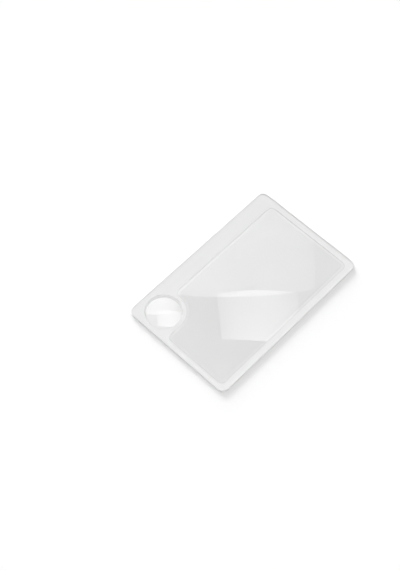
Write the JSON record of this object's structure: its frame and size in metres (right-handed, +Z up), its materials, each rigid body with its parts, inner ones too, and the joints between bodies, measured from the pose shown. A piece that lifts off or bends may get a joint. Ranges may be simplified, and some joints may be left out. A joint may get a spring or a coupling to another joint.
{
  "type": "fresnel lens magnifier card",
  "caption": "Clear wallet-size magnifier card: a Fresnel lens in a plain border, with a small round spot lens in one corner. Lies on its flat back.",
  "frame": {"origin": "middle of the card's flat back, on the surface it lies on", "axes": "+X across the card from the wide grip border to the narrow border, +Y along it away from the spot lens, +Z up, out of the grooved face"},
  "size_m": [0.054, 0.0834, 0.0015],
  "materials": {
    "clear_acrylic": "clear, colourless and polished"
  },
  "bodies": {
    "root": {"lens_card": "clear_acrylic"}
  },
  "joints": []
}
